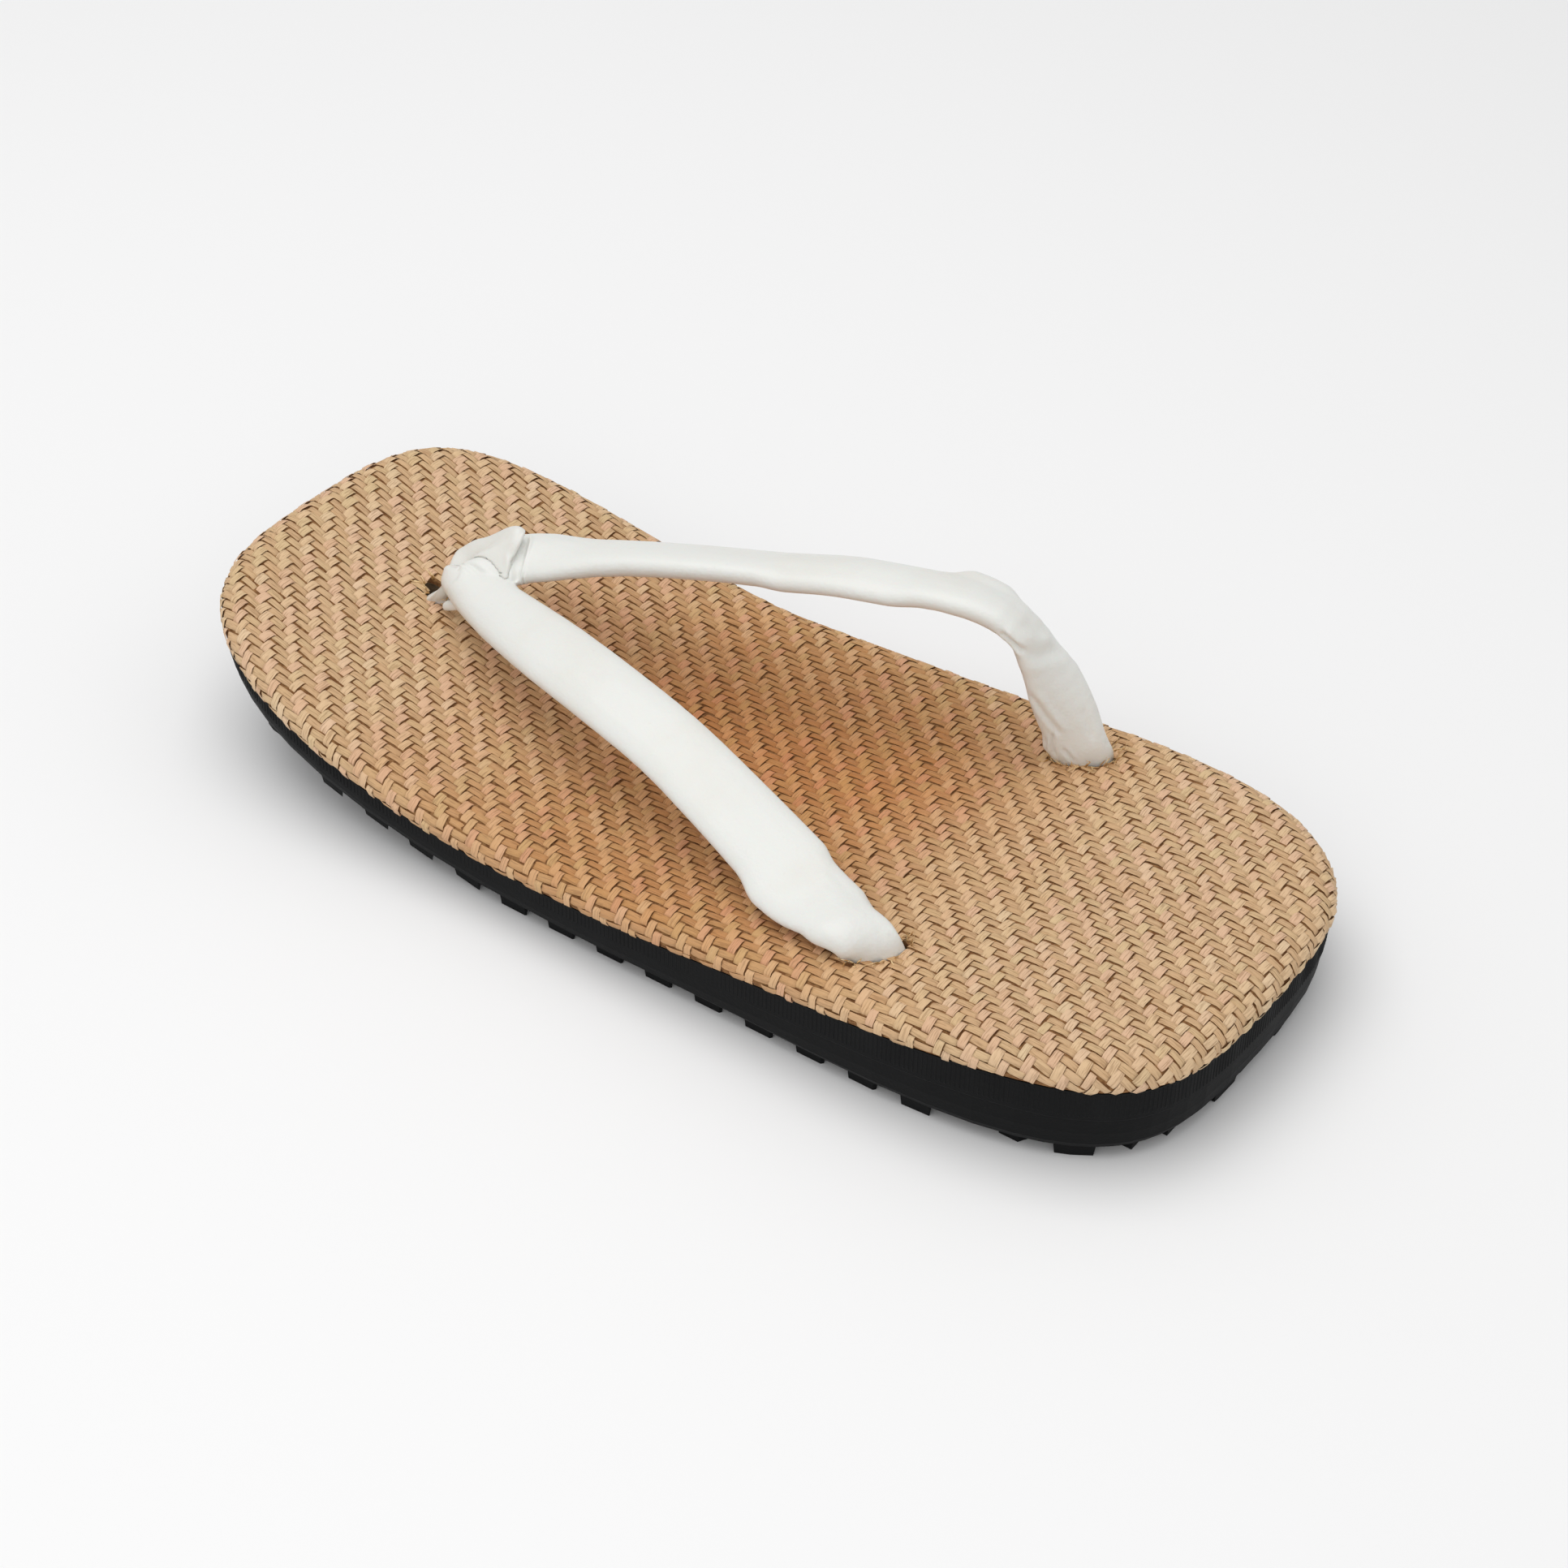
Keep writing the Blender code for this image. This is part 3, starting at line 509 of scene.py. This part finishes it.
def makeSideRibs(material):
    # upright ribs round the top band of the rubber
    count = int(outlineRun / rubber["ribPitch"])
    picks = np.arange(count) * len(outline) / count
    whole = np.append(outline, outline[:1], axis=0)
    wholeOut = np.append(outward, outward[:1], axis=0)
    points, faces = [], []
    half, bevel = rubber["ribWidth"] / 2, rubber["ribBevel"]
    for pick in picks:
        base = np.array([np.interp(pick, np.arange(len(whole)), whole[:, i]) for i in (0, 1)])
        normal = np.array([np.interp(pick, np.arange(len(whole)), wholeOut[:, i]) for i in (0, 1)])
        along = np.array([-normal[1], normal[0]])
        wall = base - normal * (last["rimInset"] + rubber["ribSink"])
        top = deck(wall[1]) - rubber["ribTop"]
        low = underside(wall[1]) + last["treadDepth"]
        foot = low + (deck(wall[1]) - low) * rubber["ribShare"]
        start = len(points)
        for height, out in ((top, 0.0), (top - bevel, 1.0), (foot + bevel, 1.0), (foot, 0.0)):
            for side, push in ((-half, 0.0), (0.0, out * rubber["ribOut"]), (half, 0.0)):
                spot = wall + along * side + normal * push
                points.append((spot[0], spot[1], height))
        for level in range(3):
            for k in range(2):
                a = start + level * 3 + k
                faces.append((a, a + 3, a + 4, a + 1))
    print("side ribs:", count)
    return meshObject("sole_side_ribs", points, faces, material, smooth=False)


soleMaterial = rubberLook()
nodes["outsole"].data.materials[0] = soleMaterial
ribs = makeSideRibs(soleMaterial)
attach(ribs, "root")


board = {"dark": (0.16, 0.10, 0.055, 1), "light": (0.38, 0.27, 0.17, 1)}


def boardLook():
    look = Look("pressed_board", Roughness=0.9)
    place = look.place()
    chips = look.cells(place, 700.0)
    grain = look.noise(place, 1800.0, 2.0)
    colour = look.mix(chips * 0.6 + grain * 0.4, board["dark"], board["light"])
    return look.surface(Base_Color=colour, Normal=look.bump(chips + grain, 0.0002))


nodes["insole_board"].data.materials[0] = boardLook()


# strap and toe loop
strap = {
    "voxel": 0.00048,
    "smoothing": 22,
    "swell": 0.00016,
    "cream": 0.0,
    "white": (0.800, 0.805, 0.770, 1),
    "shade": (0.730, 0.700, 0.625, 1),
    "grime": (0.50, 0.43, 0.34, 1),
}
toeLoop = {"voxel": 0.00036, "smoothing": 26, "swell": 0.00015, "cream": 0.25}


def leatherLook(name, cream):
    look = Look(name, Roughness=0.42, Subsurface_Weight=0.06, Subsurface_Scale=0.002)
    place = look.place()
    tone = look.noise(place, 60.0, 3.0)
    pores = look.cells(place, 1500.0)
    grain = look.noise(place, 900.0, 4.0, 0.6)
    soft = look.noise(look.stretch(place, (1.0, 0.45, 1.0)), 190.0, 3.0)
    colour = look.mix(tone.step(0.42, 0.75) * 0.30 + cream, strap["white"], strap["shade"])
    colour = look.mix(grain.step(0.62, 0.80) * 0.12, colour, strap["grime"])
    height = pores * 0.30 + grain * 0.35 + soft * 1.6
    return look.surface(
        Base_Color=colour,
        Roughness=0.36 + grain * 0.14 + tone * 0.06,
        Coat_Weight=0.10 + tone * 0.06,
        Normal=look.bump(height, 0.00022, 0.55),
    )


# creases: points along each, half width and depth, all in millimetres; below 0 is a ridge
creases = (
    # the near arm's rounded end on the toe loop
    (((5.1, -84.5, 39.9), (3.0, -83.3, 41.0), (2.6, -80.2, 41.3), (3.4, -77.0, 40.6)), 0.45, 0.42),
    # folds of the toe loop beside the far arm
    (((-2.5, -75.0, 45.8), (2.8, -70.2, 40.9)), 0.70, 0.45),
    (((-3.4, -73.8, 44.1), (2.9, -69.1, 41.0)), 0.70, -0.22),
    (((-9.6, -76.5, 48.2), (-6.9, -74.7, 46.5), (-2.0, -72.2, 43.6), (0.1, -69.7, 39.3)), 1.05, 0.95),
    (((-2.1, -81.1, 45.0), (-4.2, -77.9, 47.0)), 0.80, 0.16),
    (((-0.9, -68.3, 43.0), (-1.0, -68.1, 39.4)), 0.45, 0.50),
    # the turned-under leather at the far arm's bend, its twist, and the ridge over it
    (((-28.3, 42.0, 58.3), (-28.8, 44.3, 55.7), (-30.0, 46.9, 53.8)), 0.60, 0.85),
    (((-29.9, 46.9, 53.6), (-34.2, 49.2, 51.5), (-40.6, 50.1, 50.4)), 1.30, 0.42),
    (((-29.6, 44.7, 57.9), (-34.7, 47.2, 55.0), (-40.0, 48.2, 52.6)), 1.30, -0.32),
    # down the far arm's leg
    (((-30.7, 48.3, 43.3), (-32.4, 51.5, 38.1), (-35.1, 55.2, 32.4)), 0.65, 0.42),
    (((-31.4, 49.6, 44.4), (-33.4, 53.0, 38.8), (-36.2, 56.4, 33.0)), 0.90, -0.20),
    (((-33.8, 53.2, 33.0), (-35.3, 54.2, 26.0)), 0.50, 0.60),
    (((-33.4, 51.5, 31.0), (-35.0, 52.4, 26.0)), 0.45, 0.40),
    (((-39.9, 57.9, 38.2), (-40.0, 61.4, 31.0)), 0.90, 0.20),
    (((-35.5, 55.9, 28.9), (-36.9, 58.1, 25.5)), 0.45, 0.35),
    # the near arm's end
    (((39.2, 60.2, 29.3), (38.2, 63.6, 24.0)), 0.90, 0.16),
    (((31.1, 39.7, 32.9), (37.9, 53.0, 31.4)), 2.20, 0.22),
)

creaseReach = 0.005     # metres; keeps a crease off the strap's other faces

# larger forms that the leather settles into: a path, a radius and a push, in millimetres
settled = (
    # the near arm's outer edge, its foot's outer notch and the taper of its foot
    (((6.4, -88.8, 35.3), (14.1, -74.9, 33.6), (22.3, -55.4, 35.0), (30.6, -28.9, 36.2),
      (35.8, -8.1, 35.1), (41.2, 11.7, 31.1), (44.0, 22.0, 28.5)), 9.5, (-2.0, 0.6, 0.7)),
    (((45.0, 50.0, 25.5), (45.1, 50.1, 25.5)), 7.0, (1.9, -0.3, -0.9)),
    (((30.6, 41.0, 32.6), (32.8, 48.0, 31.4)), 6.0, (1.5, 0.0, 0.0)),
    (((33.4, 54.5, 28.6), (35.2, 59.5, 26.8)), 6.0, (2.4, 0.0, 0.0)),
    # its front end, drawn back under the toe loop
    (((6.2, -85.4, 38.6), (6.3, -85.3, 38.6)), 5.5, (0.0, 2.4, -0.3)),
    # the far arm's middle and lower edge, its upper edge, its corner, and its narrow leg
    (((-13.5, -54.0, 47.4), (-20.1, -31.3, 51.9), (-24.0, -18.0, 54.2)), 24.0, (0.0, 0.0, -1.6)),
    (((-17.4, -6.9, 57.5), (-22.2, 15.7, 60.0)), 9.0, (0.3, 0.0, -1.0)),
    (((-13.7, -75.2, 45.1), (-21.5, -56.6, 46.2), (-28.6, -33.7, 49.4), (-35.1, -11.7, 52.6),
      (-40.5, 11.2, 55.3), (-42.0, 19.0, 56.5)), 9.0, (1.2, 0.7, -1.4)),
    (((-42.6, 27.0, 58.0), (-43.4, 33.5, 58.0)), 7.0, (0.0, 0.0, 1.3)),
    (((-45.0, 41.0, 53.0), (-44.5, 46.5, 48.5)), 8.0, (0.8, -1.5, -1.5)),
    (((-44.3, 51.0, 43.0), (-44.2, 56.8, 36.4), (-44.7, 61.0, 31.0)), 7.0, (1.2, -1.3, 0.0)),
    (((-31.0, 43.5, 53.5), (-33.3, 47.0, 42.9), (-35.3, 50.0, 32.7)), 6.0, (-1.0, 1.1, 0.0)),
    # the far arm's front corner and the folds beside it
    (((-5.7, -76.7, 48.3), (-2.8, -74.6, 46.3), (1.0, -73.5, 42.0)), 9.0, (0.0, 3.4, 0.3)),
    (((-6.0, -75.5, 48.0), (-6.1, -75.5, 48.0)), 6.0, (0.0, 0.6, 1.0)),
    # the toe loop's outer side and its narrow foot
    (((-1.0, -88.0, 43.0), (-4.0, -85.5, 46.0)), 8.5, (0.0, 3.2, -2.9)),
    (((1.5, -97.0, 33.0), (1.5, -96.9, 33.0)), 11.0, (2.4, 6.6, 0.0)),
)

# rounded leather ends at the foot of the toe loop: two points and a radius, in millimetres
leatherEnds = (
    ((-1.3, -87.0, 33.2), (3.2, -89.7, 30.5), 2.1),
    ((5.6, -81.5, 30.6), (5.6, -85.5, 28.9), 1.1),
)


def pathGap(points, path, longest=1e9, normals=None):
    # distance of each point to a path, and how far along it that lies; with normals, within the surface
    stops = np.array(path) / 1000
    runs = np.linalg.norm(np.diff(stops, axis=0), axis=1)
    best = np.full(len(points), 1e9)
    where = np.zeros(len(points))
    gone = 0.0
    for a, b, run in zip(stops, stops[1:], runs):
        line = b - a
        t = np.clip(((points - a) @ line) / (line @ line), 0, 1)
        gap = points - (a + t[:, None] * line)
        far = np.linalg.norm(gap, axis=1)
        if normals is None:
            flat = far
        else:
            flat = np.linalg.norm(gap - normals * (gap * normals).sum(axis=1, keepdims=True), axis=1)
        flat = np.where(far < longest, flat, 1e9)
        closer = flat < best
        best = np.where(closer, flat, best)
        where = np.where(closer, (gone + t * run) / runs.sum(), where)
        gone += run
    return best, where


def creaseMesh(mesh):
    points = np.empty(len(mesh.vertices) * 3)
    normals = np.empty(len(mesh.vertices) * 3)
    mesh.vertices.foreach_get("co", points)
    mesh.vertices.foreach_get("normal", normals)
    points, normals = points.reshape(-1, 3), normals.reshape(-1, 3)
    moved = np.zeros_like(points)
    push = np.zeros(len(points))
    for path, radius, move in settled:
        far, _ = pathGap(points, path)
        pull = np.clip(1 - (far / (radius / 1000))**2, 0, 1)**2
        moved += pull[:, None] * np.array(move)[None, :] / 1000
    for path, width, depth in creases:
        far, where = pathGap(points, path, creaseReach, normals)
        fade = np.clip(1.12 - np.abs(2 * where - 1)**4, 0, 1)
        near = far / (width / 1000)
        trough = np.exp(-near**2) - 0.35 * np.exp(-((near - 2.1) / 0.9)**2)
        push -= np.where(near < 6, trough * fade * depth / 1000, 0)
    points += moved + normals * push[:, None]
    mesh.vertices.foreach_set("co", points.ravel())
    mesh.update()


def addEnd(bm, start, end, radius):
    # a row of balls that the remesh melts into one rounded end
    for share in np.linspace(0, 1, 9):
        middle = Vector(start).lerp(Vector(end), share) / 1000
        ball = bmesh.ops.create_icosphere(bm, subdivisions=3, radius=radius / 1000)
        bmesh.ops.translate(bm, verts=ball["verts"], vec=middle)


def softCopy(name, node, form, material, ends=()):
    # the node's solid remeshed and smoothed, then creased
    mesh = nodes[node].data.copy()
    obj = link(bpy.data.objects.new(name, mesh))
    bm = bmesh.new()
    bm.from_mesh(mesh)
    bmesh.ops.remove_doubles(bm, verts=bm.verts, dist=1e-6)
    for end in ends:
        addEnd(bm, *end)
    bm.to_mesh(mesh)
    bm.free()
    remesh = obj.modifiers.new("remesh", "REMESH")
    remesh.mode = "VOXEL"
    remesh.voxel_size = form["voxel"]
    smooth = obj.modifiers.new("smooth", "SMOOTH")
    smooth.factor = 0.5
    smooth.iterations = form["smoothing"]
    graph = bpy.context.evaluated_depsgraph_get()
    done = bpy.data.meshes.new_from_object(obj.evaluated_get(graph))
    obj.modifiers.clear()
    obj.data = done
    points = np.empty(len(done.vertices) * 3)
    normals = np.empty(len(done.vertices) * 3)
    done.vertices.foreach_get("co", points)
    done.vertices.foreach_get("normal", normals)
    done.vertices.foreach_set("co", points + normals * form["swell"])
    done.update()
    creaseMesh(done)
    done.shade_smooth()
    done.materials.clear()
    done.materials.append(material)
    print(name, len(done.polygons), "faces")
    return obj


leather = leatherLook("strap_leather", strap["cream"])
loopLeather = leatherLook("loop_leather", toeLoop["cream"])
strapBody = softCopy("strap_leather_body", "strap", strap, leather)
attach(strapBody, "root")
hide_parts("strap")
loopBody = softCopy("toe_loop_band", "toe_loop", toeLoop, loopLeather, leatherEnds)
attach(loopBody, "root")
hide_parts("toe_loop")


# frayed straw round the holes
frays = {
    "perHole": (22, 40, 64),
    "length": (0.0016, 0.0046),
    "thick": 0.00026,
    "room": 0.0002,         # out from the hole's edge
    "roundness": 0.87,
    "seed": 21,
    "dark": (0.50, 0.26, 0.08, 1),
    "light": (0.95, 0.72, 0.40, 1),
}


def besideHole(hole, angle):
    # a point just outside the edge of a hole
    turn = math.radians(hole["turn"])
    u, v = math.cos(angle), math.sin(angle)
    u = math.copysign(abs(u)**frays["roundness"], u) * (hole["length"] / 2 + frays["room"])
    v = math.copysign(abs(v)**frays["roundness"], v) * (hole["width"] / 2 + frays["room"])
    x = hole["x"] + u * math.cos(turn) - v * math.sin(turn)
    y = hole["y"] + u * math.sin(turn) + v * math.cos(turn)
    return x, y


def makeFrays(material):
    rng = np.random.default_rng(frays["seed"])
    points, faces = [], []
    for hole, count in zip(holes, frays["perHole"]):
        for _ in range(count):
            x, y = besideHole(hole, rng.uniform(0, 2 * math.pi))
            out = Vector((x - hole["x"], y - hole["y"], 0)).normalized()
            side = Vector((-out.y, out.x, 0))
            up = Vector((0, 0, rng.uniform(0.3, 1.1)))
            way = (out * rng.uniform(0.0, 0.8) + side * rng.normal(0, 0.6) + up).normalized()
            length = rng.uniform(*frays["length"])
            spot = Vector((x, y, float(matTop(np.array([y]))[0]) + 0.0001))
            start = len(points)
            for step in range(4):
                share = step / 3
                middle = spot + way * length * share + side * length * 0.25 * share**2 * rng.normal(0, 1)
                middle.z -= length * 0.22 * share**2
                thick = frays["thick"] * (1.15 - 0.9 * share)
                for corner in range(3):
                    a = 2.094 * corner      # a third of a turn
                    around = side * math.cos(a) + Vector((0, 0, 1)) * math.sin(a)
                    points.append(tuple(middle + around * thick))
            for step in range(3):
                for corner in range(3):
                    a = start + step * 3 + corner
                    b = start + step * 3 + (corner + 1) % 3
                    faces.append((a, b, b + 3, a + 3))
            faces.append((start, start + 2, start + 1))
            faces.append((start + 9, start + 10, start + 11))
    print("frays:", sum(frays["perHole"]))
    return meshObject("mat_frays", points, faces, material)


def frayLook():
    look = Look("straw_frays", Roughness=0.6)
    tint = look.noise(look.place(), 700.0, 2.0)
    colour = look.mix(tint.step(0.35, 0.65), frays["dark"], frays["light"])
    return look.surface(Base_Color=colour, Normal=look.bump(tint, 0.0001))


frayed = makeFrays(frayLook())
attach(frayed, "root")


# stage, light and camera
stage = {
    "paper": (0.93, 0.93, 0.93, 1),
    "paperShade": (0.91, 0.91, 0.915, 1),
    "size": 6.0,
    "sky": 0.56,
    # place, size and watts of each softbox
    "softboxes": {
        "overhead": ((0.12, -0.18, 1.2), (1.5, 1.2), 8.5),
        "front_fill": ((0.95, 0.45, 0.55), (0.8, 0.6), 1.6),
    },
}


def paperLook():
    look = Look("paper", Roughness=0.75)
    place = look.place()
    tint = look.noise(place, 3.0, 2.0)
    tooth = look.noise(place, 400.0, 2.0)
    colour = look.mix(tint * 0.3, stage["paper"], stage["paperShade"])
    return look.surface(Base_Color=colour, Normal=look.bump(tooth, 0.00005, 0.3))


half = stage["size"] / 2
floor = meshObject("floor", [(-half, -half, 0), (half, -half, 0), (half, half, 0), (-half, half, 0)],
                   [(0, 1, 2, 3)], paperLook(), smooth=False)


def softbox(name, place, size, watts):
    # a soft light that looks at the middle of the floor
    data = bpy.data.lights.new(name, "AREA")
    data.shape = "RECTANGLE"
    data.size, data.size_y = size
    data.energy = watts
    lamp = link(bpy.data.objects.new(name, data))
    lamp.location = place
    lamp.rotation_mode = "QUATERNION"
    lamp.rotation_quaternion = (-Vector(place)).to_track_quat("-Z", "Y")


for name, (place, size, watts) in stage["softboxes"].items():
    softbox(name, place, size, watts)
world = bpy.data.worlds.new("studio")
bpy.context.scene.world = world
world.use_nodes = True
sky = world.node_tree.nodes["Background"]
sky.inputs["Color"].default_value = (1.0, 1.0, 1.0, 1)
sky.inputs["Strength"].default_value = stage["sky"]

view = {
    "azimuth": 121.965,
    "elevation": 35.762,
    "roll": 3.319,
    "distance": 0.7965,
    "target": (-0.05668, 0.000305, 0.015),
    "lens": 78.42,
    "shiftX": -0.0764,
    "shiftY": -0.0764,
}


def makeCamera():
    a, e, r = (math.radians(view[k]) for k in ("azimuth", "elevation", "roll"))
    back = Vector((math.sin(a) * math.cos(e), -math.cos(a) * math.cos(e), math.sin(e)))
    right = Vector((math.cos(a), math.sin(a), 0.0))
    up = back.cross(right)
    rightRolled = right * math.cos(r) + up * math.sin(r)
    upRolled = up * math.cos(r) - right * math.sin(r)
    data = bpy.data.cameras.new("camera")
    data.sensor_width = 36.0
    data.lens = view["lens"]
    data.shift_x, data.shift_y = view["shiftX"], view["shiftY"]
    data.clip_start, data.clip_end = 0.01, 20.0
    camera = link(bpy.data.objects.new("camera", data))
    place = Vector(view["target"]) + back * view["distance"]
    matrix = camera.matrix_world.copy()
    for i, axis in enumerate((rightRolled, upRolled, back, place)):
        for k in range(3):
            matrix[k][i] = axis[k]
    camera.matrix_world = matrix
    bpy.context.scene.camera = camera


makeCamera()
bpy.context.scene.view_settings.view_transform = "Standard"
print("stage and camera ready")
